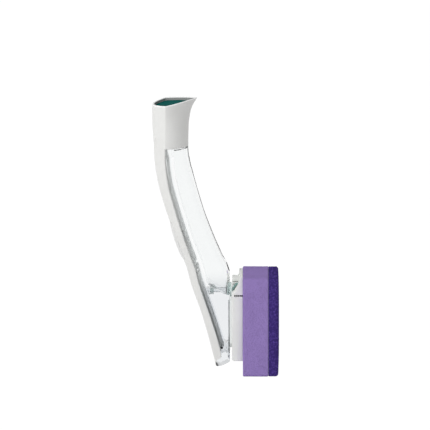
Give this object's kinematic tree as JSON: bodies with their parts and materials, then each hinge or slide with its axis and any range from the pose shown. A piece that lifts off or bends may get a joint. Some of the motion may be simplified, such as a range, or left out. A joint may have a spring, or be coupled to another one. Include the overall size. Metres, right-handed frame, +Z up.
{
  "type": "dish wand",
  "caption": "Soap dispensing dish wand with a leaning clear hollow handle, thumb button, fill plug and slide-on sponge head.",
  "frame": {"origin": "below the middle of the wand's depth, on the mirror plane, level with the pad's lower end", "axes": "+X the way the pad's scrub face looks, +Z up along the handle towards the fill mouth, y = 0 the mirror plane"},
  "size_m": [0.1271, 0.053, 0.283],
  "materials": {
    "clear_plastic": "clear moulded plastic, polished",
    "clear_silicone": "translucent silicone",
    "grey_plastic": "fine satin moulding",
    "plate_plastic": "satin moulding",
    "dark_plastic": "satin moulding",
    "teal_rubber": "soft matt rubber",
    "dark_rubber": "matt rubber",
    "steel": "drawn wire",
    "foam": "fine open cell foam",
    "scrub_fibre": "non-woven scouring fibre"
  },
  "bodies": {
    "handle": {"reservoir_body": "clear_plastic", "back_shell": "grey_plastic", "neck_seal": "dark_rubber", "lever_spring": "steel", "upper_pin": "steel", "lower_pin": "steel", "stem_boot": "clear_silicone", "outlet_seal": "teal_rubber", "rail_plate": "clear_plastic"},
    "plug": {"fill_plug": "teal_rubber"},
    "button": {"thumb_button": "grey_plastic", "upper_lever": "dark_plastic"},
    "lever": {"lower_lever": "dark_plastic"},
    "valve": {"valve_stem": "clear_plastic", "valve_disc": "teal_rubber"},
    "head": {"head_plate": "plate_plastic", "grip_clip": "teal_rubber", "soap_spreader": "plate_plastic", "sponge": "foam", "scrub_pad": "scrub_fibre"}
  },
  "joints": [
    {"name": "plug_lift", "type": "slide", "parent": "handle", "child": "plug", "axis": [0, 0, 1], "range_m": [0, 0.03]},
    {"name": "button_press", "type": "hinge", "parent": "handle", "child": "button", "pos_m": [-0.05416, 0, 0.23666], "axis": [0, -1, 0], "range_deg": [0, 1.12], "stiffness_Nm_per_rad": 10, "springref_deg": -0.86, "deforming": ["lever_spring"]},
    {"name": "lever_swing", "type": "hinge", "parent": "handle", "child": "lever", "pos_m": [0.00609, 0, 0.02757], "axis": [0, 1, 0], "range_deg": [0, 1.78]},
    {"name": "valve_lift", "type": "slide", "parent": "handle", "child": "valve", "axis": [1, 0, 0], "range_m": [0, 0.0018]},
    {"name": "head_slide", "type": "slide", "parent": "handle", "child": "head", "axis": [0, 0, 1], "range_m": [0, 0.062]}
  ],
  "couplings": [
    {"joint": "lever_swing", "follows": "button_press", "ratio": 1.5833},
    {"joint": "valve_lift", "follows": "button_press", "m_per_rad": 0.089343}
  ]
}
